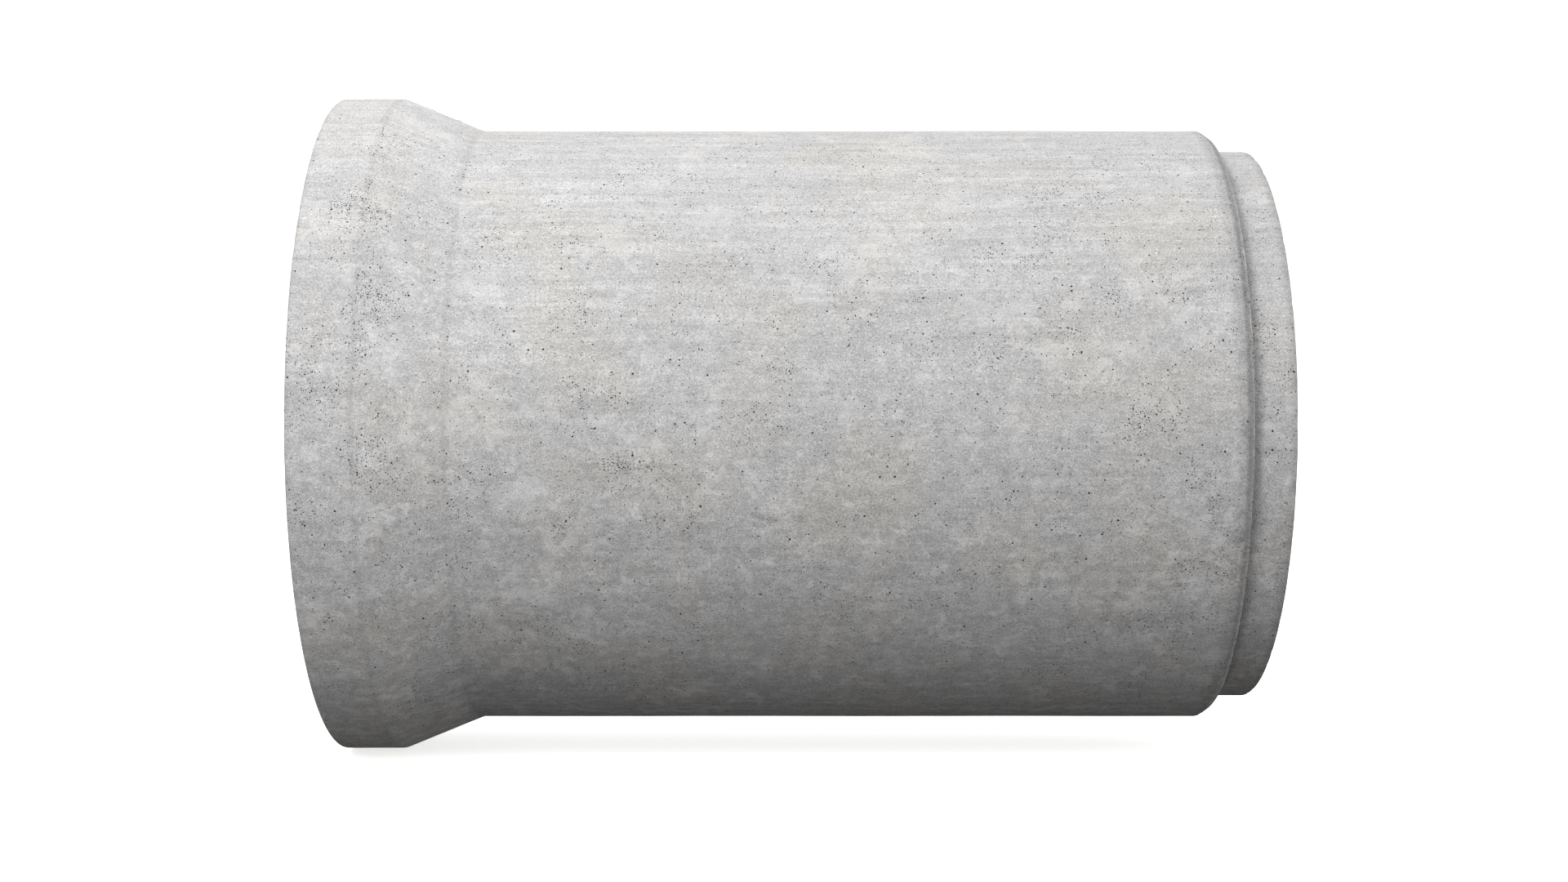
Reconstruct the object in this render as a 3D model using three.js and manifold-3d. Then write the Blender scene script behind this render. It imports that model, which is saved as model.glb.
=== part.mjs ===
// Precast reinforced concrete pipe with a bell at one end and a spigot at the other.
// The pipe lies on its side along X, bell towards -X, with its lowest line on z = 0.

import * as THREE from 'three';
import { mergeVertices } from 'three/addons/utils/BufferGeometryUtils.js';
import Module from 'manifold-3d';

const wasm = await Module();
wasm.setup();

// Concrete casting, in millimetres
const boreRadius = 685.8;
const barrelWall = 158.7;
const layingLength = 2438.4; // bore length, which one pipe adds to a line
const spigotWall = 99.6;
const spigotLength = 120;
const shoulderChamferLength = 23;
const shoulderChamferDrop = 17;
const bellWall = 140.9; // around the socket
const bandLength = 166; // straight outside of the bell
const coneLength = 221; // from the bell's band down to the barrel
const ringRoom = 8; // between spigot and socket, for the rubber ring
const jointGap = 6; // left between spigot end and socket floor in a laid pipe
const socketLead = 14; // chamfer at the socket's mouth
const edgeChamfer = 5; // on the outer edges of both end faces
const boreChamfer = 8; // on both edges of the bore
const castingSides = 64;

// Reinforcing cages
const cover = 25; // concrete over the steel, towards the bore and the outside
const endCover = 34; // concrete over the steel, towards the end faces
const hoopWire = 8;
const barWire = 6;
const barCount = 8; // lengthwise bars in each cage
const stationCount = 9; // hoops of the inner cage, evenly spaced along the pipe
const bellHoopCount = 2;
const hoopInset = 16; // from the end of a bar to the middle of its last hoop
const hoopSides = 24;

// Plastic spacers, which hold the cages apart and off the inner mould
const spacerThickness = 10;
const spacerNose = 9; // width of the tip that touches the mould
const spacerBlock = 26; // width of the blocks that grip the bars
const spacerWaist = 12;
const spacerGrip = 6; // plastic beside a bar, along the radius
const spacerRings = 3;
const spacersPerRing = 4;

// Cast-in lifting anchors, in round recesses along the crown
const anchorLength = 85;
const anchorHeadRadius = 18;
const anchorHeadFlat = 10;
const anchorHeadHeight = 20;
const anchorShaftRadius = 10;
const anchorFootRadius = 25;
const anchorFootHeight = 12;
const anchorSink = 10; // head below the surface
const recessRadius = 47;
const recessDepth = 38;
const anchorSides = 16;

// Fits
const touchGap = 0.3; // between pieces that touch
const pocketGap = 0.4; // between the concrete and what is cast into it

// Places that follow from the sizes above; s runs along the pipe from the bell's face
const spigotRadius = boreRadius + spigotWall;
const socketRadius = spigotRadius + ringRoom;
const socketDepth = spigotLength + jointGap;
const bellRadius = socketRadius + bellWall;
const barrelRadius = boreRadius + barrelWall;
const pipeLength = layingLength + socketDepth;
const coneEnd = bandLength + coneLength;
const shoulderEnd = pipeLength - spigotLength;
const shoulderStart = shoulderEnd - shoulderChamferLength;
const barAngle = (2 * Math.PI) / barCount;
const hoopCorner = 1 / Math.cos(Math.PI / hoopSides); // a hoop's corner against its flat

const innerBarStart = socketDepth + endCover;
const innerBarEnd = pipeLength - endCover;
const innerBarBottom = boreRadius + cover;
const innerBarTop = innerBarBottom + barWire;
const firstStation = innerBarStart + hoopInset;
const lastStation = innerBarEnd - hoopInset;
const stationPitch = (lastStation - firstStation) / (stationCount - 1);

const outerBarStart = endCover;
const outerBarEnd = shoulderStart - endCover;
const outerBarTop = (barrelRadius - cover) / hoopCorner - hoopWire - touchGap;
const bellBarTop = (bellRadius - cover) / hoopCorner - hoopWire - touchGap;

const concreteLook = new THREE.MeshStandardMaterial({ color: 0xb9b8b4, roughness: 0.92, metalness: 0 });
const steelLook = new THREE.MeshStandardMaterial({ color: 0x6f6259, roughness: 0.6, metalness: 0.8 });
const plasticLook = new THREE.MeshStandardMaterial({ color: 0x3c3e40, roughness: 0.6, metalness: 0 });
const anchorLook = new THREE.MeshStandardMaterial({ color: 0x8b8d8f, roughness: 0.45, metalness: 0.9 });

const pipe = new THREE.Group();
pipe.position.set(-pipeLength / 2, 0, bellRadius);

function station(index) {
  return firstStation + index * stationPitch;
}

function addPiece(name, geometry, look) {
  const mesh = new THREE.Mesh(geometry, look);
  mesh.name = name;
  pipe.add(mesh);
}

// Turns a profile of [s, radius] corners about the pipe's axis. The radii are those of the flats,
// and offset turns the first corner away from the crown.
function turned(profile, sides, offset) {
  const widening = 1 / Math.cos(Math.PI / sides);
  const points = profile.map(([s, radius]) => new THREE.Vector2(radius * widening, s));
  points.push(points[0].clone());
  return new THREE.LatheGeometry(points, sides).rotateZ(-Math.PI / 2).rotateX(offset);
}

function toSolid(geometry) {
  const bare = geometry.clone();
  bare.deleteAttribute('normal');
  bare.deleteAttribute('uv');
  const merged = mergeVertices(bare, 1e-3);
  const vertProperties = new Float32Array(merged.attributes.position.array);
  const triVerts = new Uint32Array(merged.index.array);
  return new wasm.Manifold(new wasm.Mesh({ numProp: 3, vertProperties, triVerts }));
}

function toGeometry(solid) {
  const { vertProperties, triVerts } = solid.getMesh();
  const geometry = new THREE.BufferGeometry();
  geometry.setAttribute('position', new THREE.BufferAttribute(vertProperties, 3));
  geometry.setIndex(new THREE.BufferAttribute(triVerts, 1));
  geometry.computeVertexNormals();
  return geometry;
}

// Profile of the casting, round the outside from the bell's face and back through the bore
function castingProfile() {
  return [
    [0, bellRadius - edgeChamfer],
    [edgeChamfer, bellRadius],
    [bandLength, bellRadius],
    [coneEnd, barrelRadius],
    [shoulderStart, barrelRadius],
    [shoulderEnd, barrelRadius - shoulderChamferDrop],
    [shoulderEnd, spigotRadius],
    [pipeLength - edgeChamfer, spigotRadius],
    [pipeLength, spigotRadius - edgeChamfer],
    [pipeLength, boreRadius + boreChamfer],
    [pipeLength - boreChamfer, boreRadius],
    [socketDepth + boreChamfer, boreRadius],
    [socketDepth, boreRadius + boreChamfer],
    [socketDepth, socketRadius],
    [socketLead, socketRadius],
    [0, socketRadius + socketLead],
  ];
}

// A hoop whose flats lie touchGap above the bars; grow widens it to the pocket that it fills
function hoop(s, barTop, grow) {
  const inner = barTop + touchGap - grow;
  const outer = inner + hoopWire + 2 * grow;
  const half = hoopWire / 2 + grow;
  return turned([[s - half, inner], [s - half, outer], [s + half, outer], [s + half, inner]], hoopSides, 0);
}

// Outline of a strip along a bent line of [s, radius] points, with mitred bends
function strip(line, half, endGrow) {
  const points = line.map(([s, radius]) => new THREE.Vector2(s, radius));
  const steps = points.slice(1).map((point, i) => point.clone().sub(points[i]).normalize());
  const above = [];
  const below = [];
  points.forEach((point, i) => {
    const before = steps[Math.max(i - 1, 0)];
    const after = steps[Math.min(i, steps.length - 1)];
    const mean = before.clone().add(after).normalize();
    const reach = half / mean.dot(after);
    const side = new THREE.Vector2(-mean.y, mean.x).multiplyScalar(reach);
    const along = i === 0 ? -endGrow : i === points.length - 1 ? endGrow : 0;
    const end = point.clone().addScaledVector(after, along);
    above.push(end.clone().add(side));
    below.push(end.clone().sub(side));
  });
  return new THREE.Shape(below.concat(above.reverse()));
}

// A lengthwise bar on the line given, standing at the crown and turned round the axis by angle
function bar(line, angle, grow) {
  const width = barWire + 2 * grow;
  const shape = strip(line, barWire / 2 + grow, grow);
  const geometry = new THREE.ExtrudeGeometry(shape, { depth: width, bevelEnabled: false });
  return geometry.translate(0, 0, -width / 2).rotateX(Math.PI / 2 + angle);
}

function innerBarLine() {
  const radius = innerBarTop - barWire / 2;
  return [[innerBarStart, radius], [innerBarEnd, radius]];
}

// Follows the outside of the casting: straight in the bell's band, down the cone, along the barrel
function outerBarLine() {
  const low = outerBarTop - barWire / 2;
  const high = bellBarTop - barWire / 2;
  const slope = (bellRadius - barrelRadius) / coneLength;
  const bendShift = (hoopWire + barWire) * slope;
  return [
    [outerBarStart, high],
    [bandLength - bendShift, high],
    [bandLength - bendShift + (high - low) / slope, low],
    [outerBarEnd, low],
  ];
}

// A spacer's outline across the pipe, as [sideways, radius] corners from its nose up one side
function spacerSide(grow) {
  const nose = spacerNose / 2 + grow;
  const block = spacerBlock / 2 + grow;
  const waist = spacerWaist / 2 + grow;
  return [
    [nose, innerBarBottom - spacerGrip - grow],
    [block, innerBarBottom - spacerGrip - grow],
    [block, innerBarTop + spacerGrip + grow],
    [waist, innerBarTop + spacerGrip + grow],
    [waist, outerBarTop - barWire - spacerGrip - grow],
    [block, outerBarTop - barWire - spacerGrip - grow],
    [block, outerBarTop + grow],
  ];
}

function placeAcross(geometry, thickness, s, angle) {
  const across = new THREE.Matrix4().makeBasis(
    new THREE.Vector3(0, 1, 0),
    new THREE.Vector3(0, 0, 1),
    new THREE.Vector3(1, 0, 0),
  );
  return geometry.translate(0, 0, -thickness / 2).applyMatrix4(across).rotateX(angle).translate(s, 0, 0);
}

function mirrored(side) {
  return side.map(([sideways, radius]) => [-sideways, radius]).reverse();
}

// The spacer: a tip on the bore's surface, a window round the inner bar, a fork under the outer bar
function spacer(s, angle) {
  const slot = barWire / 2 + touchGap;
  const tip = boreRadius + touchGap;
  const side = [[spacerNose / 2, tip], ...spacerSide(0), [slot, outerBarTop]];
  const fork = [[slot, outerBarTop - barWire - touchGap], [-slot, outerBarTop - barWire - touchGap]];
  const corners = [...side, ...fork, ...mirrored(side)];
  const shape = new THREE.Shape(corners.map(([x, y]) => new THREE.Vector2(x, y)));
  const window = [
    [-slot, innerBarBottom - touchGap],
    [-slot, innerBarTop + touchGap],
    [slot, innerBarTop + touchGap],
    [slot, innerBarBottom - touchGap],
  ];
  shape.holes.push(new THREE.Path(window.map(([x, y]) => new THREE.Vector2(x, y))));
  const geometry = new THREE.ExtrudeGeometry(shape, { depth: spacerThickness, bevelEnabled: false });
  return placeAcross(geometry, spacerThickness, s, angle);
}

function spacerPocket(s, angle) {
  const thickness = spacerThickness + 2 * pocketGap;
  const side = [[spacerNose / 2 + pocketGap, boreRadius - cover], ...spacerSide(pocketGap)];
  const shape = new THREE.Shape([...side, ...mirrored(side)].map(([x, y]) => new THREE.Vector2(x, y)));
  const geometry = new THREE.ExtrudeGeometry(shape, { depth: thickness, bevelEnabled: false });
  return placeAcross(geometry, thickness, s, angle);
}

// A lifting anchor turned about its own upright axis; grow widens it to its pocket
function anchor(s, grow) {
  const top = barrelRadius - anchorSink;
  const headLow = top - anchorHeadHeight;
  const bottom = top - anchorLength;
  const chamfer = anchorHeadRadius - anchorHeadFlat;
  const profile = [
    [0, bottom - grow],
    [anchorFootRadius + grow, bottom - grow],
    [anchorFootRadius + grow, bottom + anchorFootHeight / 2 + grow],
    [anchorShaftRadius + grow, bottom + anchorFootHeight + grow],
    [anchorShaftRadius + grow, headLow],
    [anchorHeadRadius + grow, headLow + chamfer],
    [anchorHeadRadius + grow, top - chamfer],
    [anchorHeadFlat + grow, top + grow],
    [0, top + grow],
  ];
  const points = profile.map(([radius, height]) => new THREE.Vector2(radius, height));
  return new THREE.LatheGeometry(points, anchorSides).rotateX(Math.PI / 2).translate(s, 0, 0);
}

function recess(s) {
  const centre = barrelRadius - recessDepth + recessRadius;
  const ball = new THREE.SphereGeometry(recessRadius, 2 * anchorSides, anchorSides);
  return ball.rotateX(Math.PI / 2).translate(s, 0, centre);
}

const pockets = [];

function embed(name, look, make) {
  addPiece(name, make(0), look);
  pockets.push(make(pocketGap));
}

for (let i = 0; i < stationCount; i += 1) {
  embed(`inner_hoop_${i + 1}`, steelLook, (grow) => hoop(station(i), innerBarTop, grow));
}

// The outer cage's hoops: in the bell's band, at the stations along the barrel, and at its end
const firstBellHoop = outerBarStart + hoopInset;
const lastBellHoop = bandLength - hoopInset;
for (let i = 0; i < bellHoopCount; i += 1) {
  const s = firstBellHoop + (i * (lastBellHoop - firstBellHoop)) / (bellHoopCount - 1);
  embed(`bell_hoop_${i + 1}`, steelLook, (grow) => hoop(s, bellBarTop, grow));
}
for (let i = 1; i < stationCount; i += 1) {
  const s = i < stationCount - 1 ? station(i) : outerBarEnd - hoopInset;
  embed(`outer_hoop_${i}`, steelLook, (grow) => hoop(s, outerBarTop, grow));
}

for (let i = 0; i < barCount; i += 1) {
  const angle = (i + 0.5) * barAngle;
  embed(`inner_bar_${i + 1}`, steelLook, (grow) => bar(innerBarLine(), angle, grow));
  embed(`outer_bar_${i + 1}`, steelLook, (grow) => bar(outerBarLine(), angle, grow));
}

// Rings of spacers midway between stations, each ring on the bars that the last one left out
for (let ring = 0; ring < spacerRings; ring += 1) {
  const s = station(2 * ring + 1.5);
  for (let i = 0; i < spacersPerRing; i += 1) {
    const angle = ((i * barCount) / spacersPerRing + (ring % 2) + 0.5) * barAngle;
    addPiece(`cage_spacer_${ring * spacersPerRing + i + 1}`, spacer(s, angle), plasticLook);
    pockets.push(spacerPocket(s, angle));
  }
}

for (const [end, place] of [['bell', 1.5], ['spigot', 5.5]]) {
  embed(`lifting_anchor_${end}_end`, anchorLook, (grow) => anchor(station(place), grow));
  pockets.push(recess(station(place)));
}

// The casting has a flat, not a corner, at its lowest line
let casting = toSolid(turned(castingProfile(), castingSides, Math.PI / castingSides));
for (const pocket of pockets) {
  casting = casting.subtract(toSolid(pocket));
}
addPiece('concrete_casting', toGeometry(casting), concreteLook);

export default pipe;
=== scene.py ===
import math
import random

import bmesh
import bpy
from mathutils import Matrix, Vector, noise


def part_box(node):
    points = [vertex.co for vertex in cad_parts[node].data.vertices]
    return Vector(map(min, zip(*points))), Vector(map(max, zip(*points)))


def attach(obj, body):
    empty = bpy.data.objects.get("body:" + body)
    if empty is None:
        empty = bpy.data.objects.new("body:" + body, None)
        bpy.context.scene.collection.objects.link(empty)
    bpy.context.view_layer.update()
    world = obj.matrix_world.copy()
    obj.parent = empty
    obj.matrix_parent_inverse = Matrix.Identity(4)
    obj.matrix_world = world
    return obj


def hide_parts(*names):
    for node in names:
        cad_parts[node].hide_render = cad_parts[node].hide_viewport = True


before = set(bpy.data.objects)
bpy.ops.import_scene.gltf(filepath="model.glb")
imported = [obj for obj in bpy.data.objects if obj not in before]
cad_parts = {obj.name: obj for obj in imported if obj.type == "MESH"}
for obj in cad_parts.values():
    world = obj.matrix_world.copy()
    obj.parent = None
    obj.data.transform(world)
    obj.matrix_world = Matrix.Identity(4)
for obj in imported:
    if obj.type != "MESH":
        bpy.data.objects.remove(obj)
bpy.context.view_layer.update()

# Places in the frame: the pipe lies along X, and s is the distance from the bell's face
castingLow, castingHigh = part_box("concrete_casting")
bellEnd = castingLow[0]
axisHeight = (castingLow[2] + castingHigh[2]) / 2
axisPoint = Vector((0, 0, axisHeight))
random.seed(54)


def linear(hexColour):
    # sRGB hex to the linear colour that a shader wants
    channels = [int(hexColour[i:i + 2], 16) / 255 for i in (1, 3, 5)]
    return [c / 12.92 if c <= 0.04045 else ((c + 0.055) / 1.055) ** 2.4 for c in channels] + [1]


def addNode(tree, kind, links=None, values=None, **settings):
    # one node with its settings, its fixed input values and what is plugged into it
    node = tree.nodes.new(kind)
    for name, setting in settings.items():
        setattr(node, name, setting)
    for socket, value in (values or {}).items():
        node.inputs[socket].default_value = value
    for socket, source in (links or {}).items():
        tree.links.new(source, node.inputs[socket])
    return node


def setStops(ramp, stops):
    # stops are (position, grey level or colour)
    elements = ramp.color_ramp.elements
    while len(elements) < len(stops):
        elements.new(0.5)
    for element, (place, tone) in zip(elements, stops):
        element.position = place
        element.color = (tone, tone, tone, 1) if isinstance(tone, (int, float)) else tone


def newMaterial(name):
    material = bpy.data.materials.new(name)
    material.use_nodes = True
    material.node_tree.nodes.clear()
    return material, material.node_tree


def newObject(name, bm, material):
    mesh = bpy.data.meshes.new(name)
    bm.to_mesh(mesh)
    bm.free()
    mesh.materials.append(material)
    obj = bpy.data.objects.new(name, mesh)
    bpy.context.scene.collection.objects.link(obj)
    return obj


# Camera
camera = {"place": (-0.0345, -6.4845, 0.8844), "lens": 51.14, "sensor": 36.0}
cameraData = bpy.data.cameras.new("camera")
cameraData.lens = camera["lens"]
cameraData.sensor_width = camera["sensor"]
cameraData.clip_end = 300
cameraObject = bpy.data.objects.new("camera", cameraData)
cameraObject.location = camera["place"]
cameraObject.rotation_euler = (math.radians(90), 0, 0)
bpy.context.scene.collection.objects.link(cameraObject)
bpy.context.scene.camera = cameraObject
print("camera ready")

# Studio: a white dome over a pale floor, and one broad soft light in front
studio = {
    "domeColour": "#ffffff",
    "domeStrength": 1.36,
    "underStrength": 0.095,  # what little comes from below the floor's line
    "frontSize": (6.0, 3.2),
    "frontPlace": (-1.6, -7.0, 4.7),
    "frontPower": 190,
    "floorRadius": 90,
    "floorColour": "#f4f4f2",
    "floorGlow": 0.80,
}
world = bpy.data.worlds.new("studioDome")
bpy.context.scene.world = world
world.use_nodes = True
tree = world.node_tree
tree.nodes.clear()
direction = addNode(tree, "ShaderNodeTexCoord")
height = addNode(tree, "ShaderNodeSeparateXYZ", {0: direction.outputs["Generated"]})
domeRamp = addNode(tree, "ShaderNodeMapRange", {0: height.outputs["Z"]}, interpolation_type="SMOOTHSTEP",
                   values={1: -0.14, 2: -0.05, 3: studio["underStrength"], 4: studio["domeStrength"]})
dome = addNode(tree, "ShaderNodeBackground", {"Strength": domeRamp.outputs[0]},
               {"Color": linear(studio["domeColour"])})
addNode(tree, "ShaderNodeOutputWorld", {"Surface": dome.outputs[0]})

frontData = bpy.data.lights.new("frontLight", "AREA")
frontData.shape = "RECTANGLE"
frontData.size, frontData.size_y = studio["frontSize"]
frontData.energy = studio["frontPower"]
front = bpy.data.objects.new("frontLight", frontData)
front.location = studio["frontPlace"]
front.rotation_euler = (axisPoint - front.location).to_track_quat("-Z", "Y").to_euler()
bpy.context.scene.collection.objects.link(front)

floorMaterial, tree = newMaterial("painted studio floor, matte")  # matte paint: even and plain
floorShader = addNode(tree, "ShaderNodeBsdfPrincipled",
                      values={"Base Color": linear(studio["floorColour"]), "Roughness": 0.9,
                              "Emission Color": linear(studio["floorColour"]),
                              "Emission Strength": studio["floorGlow"]})
addNode(tree, "ShaderNodeOutputMaterial", {"Surface": floorShader.outputs[0]})
bm = bmesh.new()
bmesh.ops.create_circle(bm, cap_ends=True, segments=96, radius=studio["floorRadius"])
floor = newObject("floor", bm, floorMaterial)
floor.visible_diffuse = False
floor.visible_glossy = False
bpy.context.scene.view_settings.view_transform = "Standard"
print("studio ready")

# The casting's shape, in metres along s and from the axis
casting = {
    "corners": [  # s, radius, rounding, spacing of the rings up to the next corner
        (0.0, 0.9343, 0.006, 0.022),
        (0.166, 0.9343, 0.005, 0.022),
        (0.387, 0.8445, 0.007, 0.024),
        (2.4214, 0.8445, 0.0035, 0.006),
        (2.4444, 0.8275, 0.0025, 0.012),
        (2.4444, 0.7854, 0.004, 0.014),
        (2.5644, 0.7854, 0.006, 0.014),
        (2.5644, 0.6858, 0.008, 0.045),
        (0.126, 0.6858, 0.008, 0.018),
        (0.126, 0.7934, 0.005, 0.022),
        (0.014, 0.7934, 0.003, 0.010),
        (0.0, 0.8074, 0.003, 0.020),
    ],
    "chipped": (0, 3, 4, 6, 7, 11),  # the corners that stick out and get knocked
    "segments": 360,
    "roundingSteps": 3,
    "waveHeight": 0.0008,  # long swells left by the mould
    "waveLength": 0.42,
    "rippleHeight": 0.00025,
    "rippleLength": 0.07,
    "chipDepth": 0.0045,
    "chipLength": 0.045,
    "chipReach": 0.011,  # how far from an edge a chip goes
    "chipThreshold": 0.28,  # higher leaves fewer chips
    "pitCount": 620,
    "pitSize": (0.0026, 0.0050),
    "pitDepth": 0.0026,
    "pitLeastRadius": 0.78,  # pits are only on the outside
    "pitLeastFace": 1.5e-4,  # and only on faces with room for one, in square metres
    "pitClusters": (0.33, 0.09),  # size of the clusters and of the clumps in them
    "pitThreshold": 0.08,
    "recessRadius": 0.047,  # the ball that leaves a recess round each lifting anchor
    "recessDepth": 0.038,
    "tipPocket": (0.0108, 0.0098, 0.012),  # room for a spacer's tip in the bore's surface
}


def fromAxis(point):
    return math.hypot(point[1], point[2] - axisHeight)


def makeProfile(bm):
    # corner points joined in a loop, rounded one by one, and the long edges cut into short steps
    corners = casting["corners"]
    spacing = bm.edges.layers.float.new("spacing")
    points = [bm.verts.new((bellEnd + s, 0, axisHeight + radius)) for s, radius, _, _ in corners]
    for i, start in enumerate(points):
        bm.edges.new((start, points[(i + 1) % len(points)]))[spacing] = corners[i][3]
    for point, (_, _, rounding, _) in zip(points, corners):
        bmesh.ops.bevel(bm, geom=[point], offset=rounding, offset_type="OFFSET", affect="VERTICES",
                        segments=casting["roundingSteps"], profile=0.5, material=-1)
    for edge in list(bm.edges):
        length = edge.calc_length()
        step = edge[spacing] if length > 2 * casting["corners"][3][2] else 0
        if step and length > step:
            bmesh.ops.subdivide_edges(bm, edges=[edge], cuts=int(length / step))


def cornerDistance(s, radius):
    corners = [casting["corners"][i] for i in casting["chipped"]]
    return min(math.hypot(s - corner[0], radius - corner[1]) for corner in corners)


def weather(bm):
    # swells and ripples everywhere, and chips bitten out of the free edges
    bm.normal_update()
    shifts = []
    for vert in bm.verts:
        place = vert.co
        s, radius = place.x - bellEnd, fromAxis(place)
        swell = casting["waveHeight"] * noise.noise(place / casting["waveLength"])
        ripple = casting["rippleHeight"] * noise.noise(place / casting["rippleLength"])
        near = max(0.0, 1 - cornerDistance(s, radius) / casting["chipReach"])
        bite = noise.noise(place / casting["chipLength"] + Vector((7, 3, 1)))
        bite += 0.5 * noise.noise(place / (casting["chipLength"] / 3))
        chip = casting["chipDepth"] * near * max(0.0, bite - casting["chipThreshold"])
        shifts.append(vert.normal * (swell * (1 - near) + ripple - chip))
    for vert, shift in zip(bm.verts, shifts):
        vert.co += shift


def stripAndPlace(face):
    # which strip round the axis a face is in, and its place along the pipe
    centre = face.calc_center_median()
    turn = math.atan2(centre.y, centre.z - axisHeight) * casting["segments"] / (2 * math.pi)
    return math.floor(turn), centre.x


def cutPits(bm):
    # air bubbles that burst against the mould: small round holes, in clusters
    pit = bm.faces.layers.int.new("pit")
    flat = [face for face in bm.faces
            if fromAxis(face.calc_center_median()) > casting["pitLeastRadius"]
            and face.calc_area() > casting["pitLeastFace"] and abs(face.normal.x) < 0.5]
    clusterSize, clumpSize = casting["pitClusters"]
    # a spin leaves the faces in a different order on each run, and the draws below need a fixed one
    flat.sort(key=stripAndPlace)
    weights = []
    for face in flat:
        place = face.calc_center_median()
        cluster = noise.noise(place / clusterSize + Vector((2, 9, 4)))
        cluster += 0.4 * noise.noise(place / clumpSize)
        weights.append(max(0.0, cluster - casting["pitThreshold"]) ** 2 + 0.002)
    chosen = list(dict.fromkeys(random.choices(flat, weights, k=casting["pitCount"])))
    bmesh.ops.inset_individual(bm, faces=chosen, thickness=0.002, depth=0, use_even_offset=True)
    for face in chosen:
        face[pit] = 1
        narrow(face, random.uniform(*casting["pitSize"]))
    corners = [vert for face in chosen for vert in face.verts]
    bmesh.ops.bevel(bm, geom=corners, offset=casting["pitSize"][0] * 0.3, affect="VERTICES",
                    segments=1, profile=0.5, material=-1)
    floors = [face for face in bm.faces if face[pit] == 1]
    bmesh.ops.inset_individual(bm, faces=floors, thickness=casting["pitSize"][0] * 0.22,
                               depth=-casting["pitDepth"], use_even_offset=True)


def narrow(face, size):
    # draws a face's corners in to a small square somewhere along its length
    centre = face.calc_center_median()
    offsets = [vert.co - centre for vert in face.verts]
    along = 2 * max(abs(offset.x) for offset in offsets)
    across = 2 * max(math.hypot(offset.y, offset.z) for offset in offsets)
    slide = random.uniform(-0.5, 0.5) * max(0.0, along - size)
    for vert, offset in zip(face.verts, offsets):
        lengthwise = Vector((offset.x * size / along + slide, 0, 0))
        sideways = Vector((0, offset.y, offset.z)) * min(1.0, size / across)
        vert.co = centre + lengthwise + sideways


def cutAway(piece, cutters):
    # one Boolean cut, kept as the piece's mesh
    modifier = piece.modifiers.new("cut", "BOOLEAN")
    modifier.operation = "DIFFERENCE"
    modifier.solver = "EXACT"
    modifier.object = cutters
    graph = bpy.context.evaluated_depsgraph_get()
    cut = bpy.data.meshes.new_from_object(piece.evaluated_get(graph))
    piece.modifiers.clear()
    piece.data = cut
    bpy.data.objects.remove(cutters)


bm = bmesh.new()
makeProfile(bm)
rings = len(bm.verts)
bmesh.ops.spin(bm, geom=bm.verts[:] + bm.edges[:], cent=axisPoint, axis=(1, 0, 0), dvec=(0, 0, 0),
               angle=2 * math.pi, steps=casting["segments"], use_merge=True)
bmesh.ops.remove_doubles(bm, verts=bm.verts, dist=1e-6)
bmesh.ops.recalc_face_normals(bm, faces=bm.faces)
weather(bm)
cutPits(bm)
for face in bm.faces:
    face.smooth = True
print("casting turned and weathered:", rings, "rings,", len(bm.faces), "faces")

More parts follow.
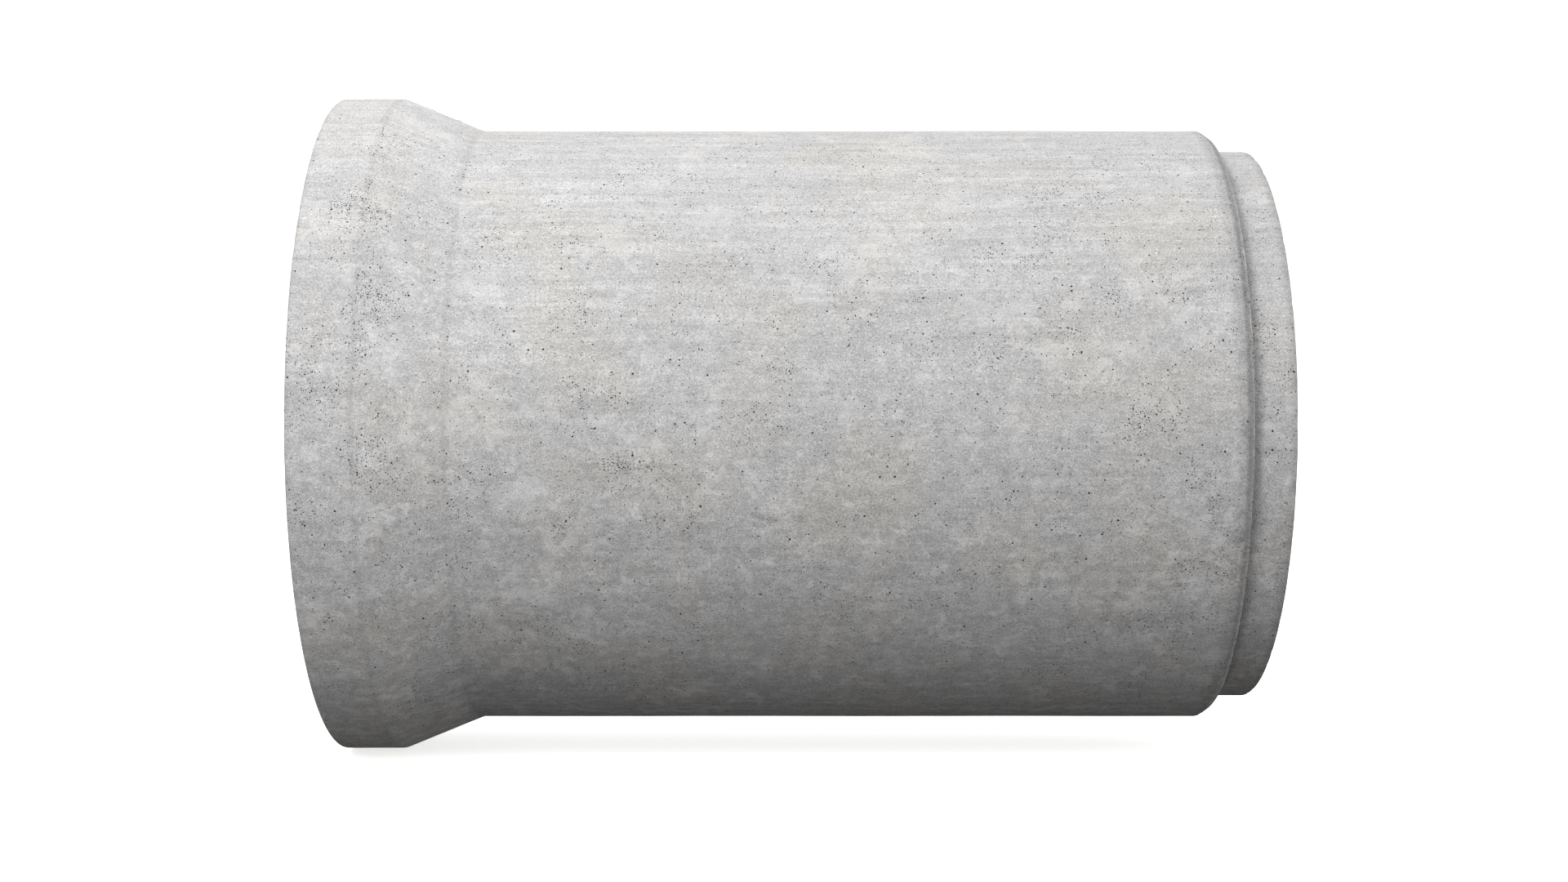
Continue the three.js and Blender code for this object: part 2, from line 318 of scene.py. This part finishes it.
# Concrete, seen as the mould left it: pale skin in patches, sand and air holes where it is thin
concreteLook = {
    "skin": "#bdbcbc",
    "coolTint": "#bcbcbd",
    "warmTint": "#bfbdba",
    "rust": "#8a6038",
    # near black: painted shade inside the air holes
    "holeWithPaintedShade": "#1f1d1b",
    # name: mm along, mm across, detail, noise values that are darkest and lightest, tones there
    "clouds": (420, 150, 3, 0.33, 0.67, 0.945, 1.04),
    "broadStreaks": (700, 24, 3, 0.34, 0.66, 0.925, 1.05),
    "fineStreaks": (120, 6.0, 2, 0.34, 0.66, 0.93, 1.05),
    "mottle": (36, 27, 8, 0.44, 0.56, 0.94, 1.035),
    "skinShares": (1.6, 0.6),  # how strong mottle and patches are low on the pipe and near its top
    "lowStreaks": 0.65,  # share of the streaks left on the lower half, where the skin is mottled instead
    "sand": (4.2, 3.5, 2, 0.37, 0.63, 0.775, 1.14),
    "sandInPatch": 0.4,  # how much sand still shows through the pale skin
    "grainCell": 2.5,  # mm between single grains, coarser than real sand so that they show
    "grainTone": (0.82, 1.11),
    "patchSize": 84,
    "patchTone": 1.085,
    "smudges": (34, 22, 4, 0.62, 0.76, 1.0, 0.76),
    # mm between holes, share of cells that hold one, how many more a crowd has, radii in mm of floor and rim
    "holes": ((5.5, 0.042, 0.72, 1.3, 1.85), (10.0, 0.024, 0.42, 1.9, 2.6), (19.0, 0.026, 0.16, 2.5, 3.3)),
    "rustSpecks": (46, 0.07, 0.7, 2.0),
    # a spot's middle (mm from the bell's face, degrees above the axis), half length, half width, strength
    "spots": {
        "crowd": ((690, 34, 55, 40, 0.8), (700, 20, 70, 80, 0.9), (705, 7, 60, 45, 1.0),
                  (130, 35, 120, 90, 0.8), (210, 18, 80, 110, 0.8), (175, -5, 50, 70, 0.9),
                  (2000, 45, 190, 70, 0.7), (2290, 52, 120, 60, 0.6), (2150, 5, 110, 120, 0.4),
                  (860, -7, 70, 40, 0.8), (1120, 0, 200, 60, 0.4), (2470, 20, 60, 120, 0.6),
                  (2240, -38, 150, 70, 0.5), (1850, 30, 120, 60, 0.5)),
        "pale": ((480, 2, 110, 60, 0.8), (600, -14, 100, 55, 0.9), (560, -28, 110, 60, 0.7),
                 (770, 0, 60, 30, 0.8), (1330, -22, 70, 40, 0.7), (1420, 30, 130, 90, 0.6),
                 (1780, 19, 110, 50, 0.8), (1950, 12, 70, 40, 0.6), (960, 40, 160, 60, 0.5),
                 (2190, 22, 60, 40, 0.6), (760, -40, 130, 50, 0.5)),
        "smudge": ((860, -8, 60, 35, 0.7), (700, 5, 60, 35, 0.4), (1250, -17, 170, 24, 0.6),
                   (610, -36, 120, 50, 0.5), (1880, 16, 150, 60, 0.5), (1960, 40, 150, 50, 0.4),
                   (1180, -7, 110, 40, 0.4), (250, -18, 70, 60, 0.5), (840, -26, 90, 50, 0.4)),
    },
    # darker and lighter bands along the casting's corners, partly grime and wear at the rims, partly painted
    # shade in the creases and round the shoulder: corner, mm past it, half width in mm, tone in the middle
    "cornerShadeAndGrime": (
        (0, 0, 15, 0.85),  # knocked rim of the bell: wear, and painted shade where the rounded rim turns away
        (1, 0, 15, 0.90),  # painted shade along the crease between the band and the cone
        (2, 0, 15, 0.90),  # painted shade in the foot of the cone
        (3, -5, 30, 0.80),  # darker just above the shoulder
        (3, 10, 15, 0.65),  # painted shade on the shoulder's own slope
        (4, 0, 3, 1.50),  # its lower edge, a thin pale line
        (4, 10, 30, 0.60),  # painted shade in the foot of the shoulder
        (6, 0, 30, 0.75),  # rim of the spigot
    ),
    "bellTone": 1.08,
    "barrelPaintedLightFalloff": (1.04, 0.96),  # painted light: the barrel lighter at the bell's end than at the spigot's, as the light falls from the left
    "endTone": 0.99,
    "boreTone": 1.0,
}


def surfaceRadius(s):
    # radius of the casting's outside at s, between the corners that bound it
    outside = [(corner[0], corner[1]) for corner in casting["corners"][:7]]
    for (start, low), (end, high) in zip(outside, outside[1:]):
        if start <= s <= end and end > start:
            return low + (high - low) * (s - start) / (end - start)
    return outside[-1][1]


def makeConcrete():
    look = concreteLook
    material, tree = newMaterial("cast concrete, vibrated in a steel mould")
    link = lambda node, socket=0: node.outputs[socket]
    place = link(addNode(tree, "ShaderNodeTexCoord"), "Object")
    normal = link(addNode(tree, "ShaderNodeNewGeometry"), "True Normal")
    endWise = addNode(tree, "ShaderNodeSeparateXYZ", {0: normal})
    endWise = addNode(tree, "ShaderNodeMath", {0: link(endWise)}, operation="ABSOLUTE")
    onEnd = addNode(tree, "ShaderNodeMapRange", {0: link(endWise)}, {1: 0.75, 2: 0.9})
    across = addNode(tree, "ShaderNodeMapping", {0: place}, {1: (0, 0, -axisHeight), 3: (0, 1, 1)})
    radius = addNode(tree, "ShaderNodeVectorMath", {0: link(across)}, operation="LENGTH")
    outside = addNode(tree, "ShaderNodeMapRange", {0: link(radius, "Value")}, {1: 0.73, 2: 0.76})
    print("concrete started")

    # layers of noise, each a tone that darkens or lightens the one under it
    noises = {}
    for name in ("clouds", "broadStreaks", "fineStreaks", "mottle", "sand"):
        long, wide, detail, low, high, dark, light = look[name]
        stretched = addNode(tree, "ShaderNodeMapping", {0: place},
                            {1: (len(name), 3, 5), 3: (1000 / long, 1000 / wide, 1000 / wide)})
        grain = addNode(tree, "ShaderNodeTexNoise", {"Vector": link(stretched)},
                        {"Scale": 1, "Detail": detail, "Roughness": 0.6})
        noises[name] = link(addNode(tree, "ShaderNodeMapRange", {0: link(grain)},
                                    {1: low, 2: high, 3: dark, 4: light}))

    # spots: soft ovals on the surface where holes crowd, the skin is pale or the face is smudged
    spots = {}
    for kind, ovals in look["spots"].items():
        total = None
        for s, elevation, halfLong, halfWide, strength in ovals:
            turn = math.radians(elevation)
            reach = surfaceRadius(s / 1000)
            centre = (bellEnd + s / 1000, -reach * math.cos(turn), axisHeight + reach * math.sin(turn))
            scale = (1000 / halfLong, 1000 / halfWide, 1000 / halfWide)
            oval = addNode(tree, "ShaderNodeMapping", {0: place},
                           {1: [-c * k for c, k in zip(centre, scale)], 3: scale})
            away = addNode(tree, "ShaderNodeVectorMath", {0: link(oval)}, operation="LENGTH")
            near = link(addNode(tree, "ShaderNodeMapRange", {0: link(away, "Value")},
                                {1: 0.2, 2: 1.4, 3: strength, 4: 0.0}, interpolation_type="SMOOTHSTEP"))
            total = near if total is None else link(
                addNode(tree, "ShaderNodeMath", {0: total, 1: near}, operation="MAXIMUM"))
        spots[kind] = total

    # pale skin: smooth patches with ragged edges
    ragged = addNode(tree, "ShaderNodeTexNoise", {"Vector": place},
                     {"Scale": 1000 / look["patchSize"], "Detail": 7, "Roughness": 0.68, "Distortion": 0.4})
    ragged = addNode(tree, "ShaderNodeMath", {0: spots["pale"], 2: link(ragged)}, {1: 0.16},
                     operation="MULTIPLY_ADD")
    patch = link(addNode(tree, "ShaderNodeMapRange", {0: link(ragged)}, {1: 0.553, 2: 0.574}))
    patchTone = addNode(tree, "ShaderNodeMapRange", {0: patch}, {3: 1.0, 4: look["patchTone"]})
    sandShare = addNode(tree, "ShaderNodeMapRange", {0: patch}, {3: 1.0, 4: look["sandInPatch"]})
    sand = addNode(tree, "ShaderNodeMath", {0: noises["sand"]}, {1: 1.0}, operation="SUBTRACT")
    sand = addNode(tree, "ShaderNodeMath", {0: link(sand), 1: link(sandShare)}, {2: 1.0},
                   operation="MULTIPLY_ADD")

    grains = addNode(tree, "ShaderNodeTexVoronoi", {"Vector": place}, {"Scale": 1000 / look["grainCell"]})
    grains = addNode(tree, "ShaderNodeSeparateColor", {0: link(grains, "Color")})
    grainTone = addNode(tree, "ShaderNodeMapRange", {0: link(grains)},
                        {3: look["grainTone"][0], 4: look["grainTone"][1]})
    long, wide, detail, low, high, clean, dirty = look["smudges"]
    stretched = addNode(tree, "ShaderNodeMapping", {0: place}, {3: (1000 / long, 1000 / wide, 1000 / wide)})
    smudge = addNode(tree, "ShaderNodeTexNoise", {"Vector": link(stretched)},
                     {"Scale": 1, "Detail": detail, "Roughness": 0.65})
    smudge = addNode(tree, "ShaderNodeMath", {0: spots["smudge"], 2: link(smudge)}, {1: 0.26},
                     operation="MULTIPLY_ADD")
    smudgeTone = addNode(tree, "ShaderNodeMapRange", {0: link(smudge)}, {1: low, 2: high, 3: clean, 4: dirty})

    # bands along the pipe, with painted light falling off along the barrel and painted shade at the corners,
    # their edges moved a little by noise
    wander = addNode(tree, "ShaderNodeTexNoise", {"Vector": place}, {"Scale": 35, "Detail": 3})
    wander = addNode(tree, "ShaderNodeMapRange", {0: link(wander)}, {1: 0.3, 2: 0.7, 3: -0.003, 4: 0.003})
    along = addNode(tree, "ShaderNodeSeparateXYZ", {0: place})
    along = addNode(tree, "ShaderNodeMath", {0: link(along), 1: link(wander)}, operation="ADD")
    ends = [bellEnd + casting["corners"][i][0] for i in (1, 2, 5)]
    onBell = addNode(tree, "ShaderNodeMapRange", {0: link(along)},
                     {1: ends[0], 2: ends[1], 3: look["bellTone"], 4: look["barrelPaintedLightFalloff"][0]})
    # painted light: the barrel darkens towards the spigot's end, as the light falls from the left
    barrelPaintedLight = addNode(tree, "ShaderNodeMapRange", {0: link(along)},
                       {1: ends[1], 2: ends[2], 3: 1.0, 4: look["barrelPaintedLightFalloff"][1] / look["barrelPaintedLightFalloff"][0]})
    bandTone = link(addNode(tree, "ShaderNodeMath", {0: link(onBell), 1: link(barrelPaintedLight)},
                            operation="MULTIPLY"))
    # darker bands at the corners: painted shade in the creases and round the shoulder, with grime and wear at
    # the rims
    for corner, past, halfWidth, middleTone in look["cornerShadeAndGrime"]:
        middle = bellEnd + casting["corners"][corner][0] + past / 1000
        away = addNode(tree, "ShaderNodeMath", {0: link(along)}, {1: middle}, operation="SUBTRACT")
        away = addNode(tree, "ShaderNodeMath", {0: link(away)}, operation="ABSOLUTE")
        shadeAndGrime = addNode(tree, "ShaderNodeMapRange", {0: link(away)},
                       {1: 0.0, 2: halfWidth / 1000, 3: middleTone, 4: 1.0}, interpolation_type="SMOOTHSTEP")
        bandTone = link(addNode(tree, "ShaderNodeMath", {0: bandTone, 1: link(shadeAndGrime)}, operation="MULTIPLY"))
    outTone = addNode(tree, "ShaderNodeMix", {0: link(outside), 3: bandTone}, {2: look["boreTone"]})
    formTone = addNode(tree, "ShaderNodeMix", {0: link(onEnd), 2: link(outTone)}, {3: look["endTone"]})

    # air holes: dots at the middles of Voronoi cells, shown where the noise clusters them, painted near black
    # as the shade inside them
    cluster = addNode(tree, "ShaderNodeTexNoise", {"Vector": place},
                      {"Scale": 7, "Detail": 3, "Roughness": 0.65})
    cluster = addNode(tree, "ShaderNodeMath", {0: spots["crowd"], 2: link(cluster)}, {1: 0.22},
                      operation="MULTIPLY_ADD")
    crowd = addNode(tree, "ShaderNodeMapRange", {0: link(cluster)}, {1: 0.54, 2: 0.80})
    bare = addNode(tree, "ShaderNodeMapRange", {0: patch}, {3: 1.0, 4: 0.25})
    crowd = link(addNode(tree, "ShaderNodeMath", {0: link(crowd), 1: link(bare)}, operation="MULTIPLY"))
    holes = []
    for cell, share, more, floorRadius, rimRadius in look["holes"]:
        cells = addNode(tree, "ShaderNodeTexVoronoi", {"Vector": place}, {"Scale": 1000 / cell})
        dot = addNode(tree, "ShaderNodeMapRange", {0: link(cells, "Distance")},
                      {1: floorRadius / cell, 2: rimRadius / cell, 3: 1, 4: 0})
        chance = addNode(tree, "ShaderNodeSeparateColor", {0: link(cells, "Color")})
        chance = addNode(tree, "ShaderNodeMath", {0: crowd, 2: link(chance)}, {1: more},
                         operation="MULTIPLY_ADD")
        shown = addNode(tree, "ShaderNodeMath", {0: link(chance)}, {1: 1 - share}, operation="GREATER_THAN")
        holeWithPaintedShade = addNode(tree, "ShaderNodeMath", {0: link(dot), 1: link(shown)}, operation="MULTIPLY")
        holes.append(link(holeWithPaintedShade))
    holeWithPaintedShade = holes[0]
    for other in holes[1:]:
        holeWithPaintedShade = link(addNode(tree, "ShaderNodeMath", {0: holeWithPaintedShade, 1: other}, operation="MAXIMUM"))

    # streaks fade towards the lower half, where mottle and patches grow stronger
    rise = link(addNode(tree, "ShaderNodeSeparateXYZ", {0: place}), "Z")
    streakShare = link(addNode(tree, "ShaderNodeMapRange", {0: rise},
                               {1: axisHeight, 2: axisHeight + 0.45, 3: look["lowStreaks"], 4: 1.0}))
    skinShare = link(addNode(tree, "ShaderNodeMapRange", {0: rise},
                             {1: axisHeight - 0.35, 2: axisHeight + 0.6,
                              3: look["skinShares"][0], 4: look["skinShares"][1]}))
    noises["patch"] = link(patchTone)
    for name, shared in (("broadStreaks", streakShare), ("fineStreaks", streakShare),
                         ("mottle", skinShare), ("patch", skinShare)):
        layer = addNode(tree, "ShaderNodeMath", {0: noises[name]}, {1: 1.0}, operation="SUBTRACT")
        noises[name] = link(addNode(tree, "ShaderNodeMath", {0: link(layer), 1: shared}, {2: 1.0},
                                    operation="MULTIPLY_ADD"))

    # everything together: tone times tint, then the holes' painted shade
    tone = link(sand)
    for layer in (noises["clouds"], noises["broadStreaks"], noises["fineStreaks"], noises["mottle"],
                  noises["patch"], link(grainTone), link(smudgeTone), link(formTone)):
        tone = link(addNode(tree, "ShaderNodeMath", {0: tone, 1: layer}, operation="MULTIPLY"))
    tintNoise = addNode(tree, "ShaderNodeTexNoise", {"Vector": place}, {"Scale": 4, "Detail": 3})
    tint = addNode(tree, "ShaderNodeValToRGB", {0: link(tintNoise)})
    setStops(tint, [(0.34, linear(look["coolTint"])), (0.5, linear(look["skin"])),
                    (0.66, linear(look["warmTint"]))])
    colour = addNode(tree, "ShaderNodeVectorMath", {0: link(tint), "Scale": tone}, operation="SCALE")
    cell, share, coreRadius, haloRadius = look["rustSpecks"]
    cells = addNode(tree, "ShaderNodeTexVoronoi", {"Vector": place}, {"Scale": 1000 / cell})
    speck = addNode(tree, "ShaderNodeMapRange", {0: link(cells, "Distance")},
                    {1: coreRadius / cell, 2: haloRadius / cell, 3: 0.7, 4: 0})
    chance = addNode(tree, "ShaderNodeSeparateColor", {0: link(cells, "Color")})
    shown = addNode(tree, "ShaderNodeMath", {0: link(chance)}, {1: 1 - share}, operation="GREATER_THAN")
    speck = addNode(tree, "ShaderNodeMath", {0: link(speck), 1: link(shown)}, operation="MULTIPLY")
    colour = addNode(tree, "ShaderNodeMix", {0: link(speck), 6: link(colour)},
                     {7: linear(look["rust"])}, data_type="RGBA")
    # the holes painted near black: painted shade inside them
    holeShare = addNode(tree, "ShaderNodeMath", {0: holeWithPaintedShade}, {1: 0.94}, operation="MULTIPLY")
    colour = addNode(tree, "ShaderNodeMix", {0: link(holeShare), 6: link(colour, 2)},
                     {7: linear(look["holeWithPaintedShade"])}, data_type="RGBA")

    roughness = addNode(tree, "ShaderNodeMapRange", {0: patch}, {3: 0.93, 4: 0.82})
    relief = addNode(tree, "ShaderNodeMath", {0: holeWithPaintedShade, 1: noises["sand"]}, operation="SUBTRACT")
    relief = addNode(tree, "ShaderNodeMath", {0: link(relief)}, {1: -1.0}, operation="MULTIPLY")
    bump = addNode(tree, "ShaderNodeBump", {"Height": link(relief)}, {"Strength": 0.6, "Distance": 0.0012})
    shader = addNode(tree, "ShaderNodeBsdfPrincipled",
                     {"Base Color": link(colour, 2), "Roughness": link(roughness), "Normal": link(bump)},
                     {"Specular IOR Level": 0.2})
    addNode(tree, "ShaderNodeOutputMaterial", {"Surface": link(shader)})
    return material


concrete = makeConcrete()
pipe = newObject("concrete_pipe", bm, concrete)

# recesses round the lifting anchors, and pockets for the spacers' tips in the bore
bm = bmesh.new()
anchorNodes = ("lifting_anchor_bell_end", "lifting_anchor_spigot_end")
barrelTop = axisHeight + casting["corners"][2][1]
for node in anchorNodes:
    low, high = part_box(node)
    centre = Vector(((low[0] + high[0]) / 2, 0, barrelTop - casting["recessDepth"] + casting["recessRadius"]))
    bmesh.ops.create_uvsphere(bm, u_segments=48, v_segments=24, radius=casting["recessRadius"],
                              matrix=Matrix.Translation(centre))
boreRadius = casting["corners"][8][1]
for node in sorted(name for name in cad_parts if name.startswith("cage_spacer")):
    low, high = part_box(node)
    middle = (Vector(low) + Vector(high)) / 2
    angle = math.atan2(-middle.y, middle.z - axisHeight)
    out = Matrix.Translation((middle.x, 0, axisHeight)) @ Matrix.Rotation(angle, 4, "X")
    out = out @ Matrix.Translation((0, 0, boreRadius)) @ Matrix.Diagonal((*casting["tipPocket"], 1))
    bmesh.ops.create_cube(bm, size=1, matrix=out)
bmesh.ops.recalc_face_normals(bm, faces=bm.faces)
cutAway(pipe, newObject("cutters", bm, concrete))
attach(pipe, "root")
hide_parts("concrete_casting")
print("casting finished:", len(pipe.data.polygons), "faces")

# Lifting anchors: forged studs with a round head that a lifting clutch closes under
anchors = {
    "profile": [  # radius, depth of the corner below the barrel's top line, rounding
        (0.0, 0.010, 0), (0.0135, 0.010, 0.004), (0.018, 0.0150, 0.002), (0.018, 0.0215, 0.002),
        (0.010, 0.0300, 0.004), (0.010, 0.083, 0.003), (0.025, 0.089, 0.001), (0.025, 0.095, 0.002),
        (0.0, 0.095, 0),
    ],
    "steps": 48,
    "steel": "#8f9190",
    "dull": "#6d6c69",
    "rust": "#7d4b2a",
    "scaleMm": 9,  # size of the dull and rusty spots
}


def makeAnchorSteel():
    material, tree = newMaterial("drop forged steel, hot dip galvanised")  # grey zinc, dulled and spotted
    place = addNode(tree, "ShaderNodeTexCoord").outputs["Object"]
    spots = addNode(tree, "ShaderNodeTexNoise", {"Vector": place},
                    {"Scale": 1000 / anchors["scaleMm"], "Detail": 5, "Roughness": 0.6})
    colour = addNode(tree, "ShaderNodeValToRGB", {0: spots.outputs[0]})
    setStops(colour, [(0.38, linear(anchors["steel"])), (0.55, linear(anchors["dull"])),
                      (0.68, linear(anchors["rust"]))])
    metal = addNode(tree, "ShaderNodeMapRange", {0: spots.outputs[0]}, {1: 0.55, 2: 0.68, 3: 0.9, 4: 0.1})
    roughness = addNode(tree, "ShaderNodeMapRange", {0: spots.outputs[0]},
                        {1: 0.35, 2: 0.65, 3: 0.42, 4: 0.85})
    bump = addNode(tree, "ShaderNodeBump", {"Height": spots.outputs[0]},
                   {"Strength": 0.4, "Distance": 0.0008})
    shader = addNode(tree, "ShaderNodeBsdfPrincipled",
                     {"Base Color": colour.outputs[0], "Metallic": metal.outputs[0],
                      "Roughness": roughness.outputs[0], "Normal": bump.outputs[0]})
    addNode(tree, "ShaderNodeOutputMaterial", {"Surface": shader.outputs[0]})
    return material


anchorSteel = makeAnchorSteel()
for node in anchorNodes:
    low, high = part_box(node)
    centre = Vector(((low[0] + high[0]) / 2, 0, barrelTop))
    bm = bmesh.new()
    points = [bm.verts.new(centre + Vector((radius, 0, -depth))) for radius, depth, _ in anchors["profile"]]
    for start, end in zip(points, points[1:]):
        bm.edges.new((start, end))
    for point, (_, _, rounding) in zip(points, anchors["profile"]):
        if rounding:
            bmesh.ops.bevel(bm, geom=[point], offset=rounding, offset_type="OFFSET", affect="VERTICES",
                            segments=4, profile=0.5, material=-1)
    bmesh.ops.spin(bm, geom=bm.verts[:] + bm.edges[:], cent=centre, axis=(0, 0, 1), dvec=(0, 0, 0),
                   angle=2 * math.pi, steps=anchors["steps"], use_merge=True)
    bmesh.ops.remove_doubles(bm, verts=bm.verts, dist=1e-6)
    bmesh.ops.recalc_face_normals(bm, faces=bm.faces)
    for face in bm.faces:
        face.smooth = True
    stud = newObject(node.replace("lifting_anchor", "forged_anchor"), bm, anchorSteel)
    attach(stud, "root")
    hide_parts(node)
print("lifting anchors finished")

# Reinforcing cages: round wire hoops and bars, held apart by plastic spacers
cage = {
    "hoopFlats": 24,  # sides of a hoop in the frame, whose flats touch the bars
    "hoopSteps": 96,
    "wireSides": 10,
    "barWire": 0.003,
    # s and radius of the points that a bar runs through
    "innerLine": ((0.160, 0.7138), (2.5304, 0.7138)),
    "outerLine": ((0.034, 0.8902), (0.1603, 0.8902), (0.3794, 0.8012), (2.3874, 0.8012)),
    "millSteel": "#5f5650",
    "rust": "#8a5230",
    "darkRust": "#4d3325",
    "rustMm": 7,
    "plastic": "#3b3d3f",
    "plasticPale": "#4c4e50",
    "grainMm": 0.9,
    "dustMm": 14,
}


def makeCageSteel():
    material, tree = newMaterial("cold drawn steel wire, rusted in the yard")  # brown film over dull grey
    place = addNode(tree, "ShaderNodeTexCoord").outputs["Object"]
    rust = addNode(tree, "ShaderNodeTexNoise", {"Vector": place},
                   {"Scale": 1000 / cage["rustMm"], "Detail": 6, "Roughness": 0.65})
    colour = addNode(tree, "ShaderNodeValToRGB", {0: rust.outputs[0]})
    setStops(colour, [(0.36, linear(cage["millSteel"])), (0.5, linear(cage["rust"])),
                      (0.66, linear(cage["darkRust"]))])
    metal = addNode(tree, "ShaderNodeMapRange", {0: rust.outputs[0]}, {1: 0.38, 2: 0.5, 3: 0.8, 4: 0.1})
    roughness = addNode(tree, "ShaderNodeMapRange", {0: rust.outputs[0]},
                        {1: 0.36, 2: 0.6, 3: 0.5, 4: 0.92})
    bump = addNode(tree, "ShaderNodeBump", {"Height": rust.outputs[0]},
                   {"Strength": 0.5, "Distance": 0.0005})
    shader = addNode(tree, "ShaderNodeBsdfPrincipled",
                     {"Base Color": colour.outputs[0], "Metallic": metal.outputs[0],
                      "Roughness": roughness.outputs[0], "Normal": bump.outputs[0]})
    addNode(tree, "ShaderNodeOutputMaterial", {"Surface": shader.outputs[0]})
    return material


def makeSpacerPlastic():
    material, tree = newMaterial("recycled polypropylene, injection moulded")  # dark, faintly grained, dusty
    place = addNode(tree, "ShaderNodeTexCoord").outputs["Object"]
    grain = addNode(tree, "ShaderNodeTexNoise", {"Vector": place},
                    {"Scale": 1000 / cage["grainMm"], "Detail": 2})
    dust = addNode(tree, "ShaderNodeTexNoise", {"Vector": place},
                   {"Scale": 1000 / cage["dustMm"], "Detail": 5})
    colour = addNode(tree, "ShaderNodeValToRGB", {0: dust.outputs[0]})
    setStops(colour, [(0.4, linear(cage["plastic"])), (0.7, linear(cage["plasticPale"]))])
    roughness = addNode(tree, "ShaderNodeMapRange", {0: dust.outputs[0]},
                        {1: 0.35, 2: 0.7, 3: 0.45, 4: 0.75})
    bump = addNode(tree, "ShaderNodeBump", {"Height": grain.outputs[0]},
                   {"Strength": 0.2, "Distance": 0.0002})
    shader = addNode(tree, "ShaderNodeBsdfPrincipled",
                     {"Base Color": colour.outputs[0], "Roughness": roughness.outputs[0],
                      "Normal": bump.outputs[0]})
    addNode(tree, "ShaderNodeOutputMaterial", {"Surface": shader.outputs[0]})
    return material


def makeHoop(node):
    # a ring of wire turned about the pipe's axis
    low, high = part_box(node)
    wire = (high.x - low.x) / 2
    outside = (high.z - low.z) / 2 * math.cos(math.pi / cage["hoopFlats"])
    middle = Vector(((low.x + high.x) / 2, 0, axisHeight + outside - wire))
    bm = bmesh.new()
    bmesh.ops.create_circle(bm, cap_ends=False, segments=cage["wireSides"], radius=wire,
                            matrix=Matrix.Translation(middle) @ Matrix.Rotation(math.pi / 2, 4, "X"))
    bmesh.ops.spin(bm, geom=bm.verts[:] + bm.edges[:], cent=axisPoint, axis=(1, 0, 0), dvec=(0, 0, 0),
                   angle=2 * math.pi, steps=cage["hoopSteps"], use_merge=True)
    return bm


def makeBar(node, line):
    # a wire drawn out along its line at the crown, then turned to its place round the axis
    low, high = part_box(node)
    middle = (low + high) / 2
    bm = bmesh.new()
    start = Vector((bellEnd + line[0][0], 0, axisHeight + line[0][1]))
    ring = bmesh.ops.create_circle(bm, cap_ends=False, segments=cage["wireSides"], radius=cage["barWire"],
                                   matrix=Matrix.Translation(start) @ Matrix.Rotation(math.pi / 2, 4, "Y"))
    edges = list({edge for vert in ring["verts"] for edge in vert.link_edges})
    for (s, radius), (nextS, nextRadius) in zip(line, line[1:]):
        drawn = bmesh.ops.extrude_edge_only(bm, edges=edges)["geom"]
        edges = [part for part in drawn if isinstance(part, bmesh.types.BMEdge)]
        bmesh.ops.translate(bm, vec=(nextS - s, 0, nextRadius - radius),
                            verts=[part for part in drawn if isinstance(part, bmesh.types.BMVert)])
    bmesh.ops.holes_fill(bm, edges=bm.edges[:], sides=cage["wireSides"])
    turn = Matrix.Rotation(math.atan2(-middle.y, middle.z - axisHeight), 3, "X")
    bmesh.ops.rotate(bm, cent=axisPoint, matrix=turn, verts=bm.verts[:])
    return bm


cageSteel, spacerPlastic = makeCageSteel(), makeSpacerPlastic()
for node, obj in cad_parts.items():
    if node.startswith("cage_spacer"):
        for slot in obj.material_slots:
            slot.material = spacerPlastic
    elif "_hoop_" in node or "_bar_" in node:
        line = cage["innerLine"] if node.startswith("inner") else cage["outerLine"]
        bm = makeHoop(node) if "_hoop_" in node else makeBar(node, line)
        bmesh.ops.remove_doubles(bm, verts=bm.verts, dist=1e-6)
        bmesh.ops.recalc_face_normals(bm, faces=bm.faces)
        for face in bm.faces:
            face.smooth = len(face.verts) == 4
        wire = newObject(node.replace("hoop", "round_hoop").replace("bar", "round_bar"), bm, cageSteel)
        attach(wire, "root")
        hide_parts(node)
print("cages finished")
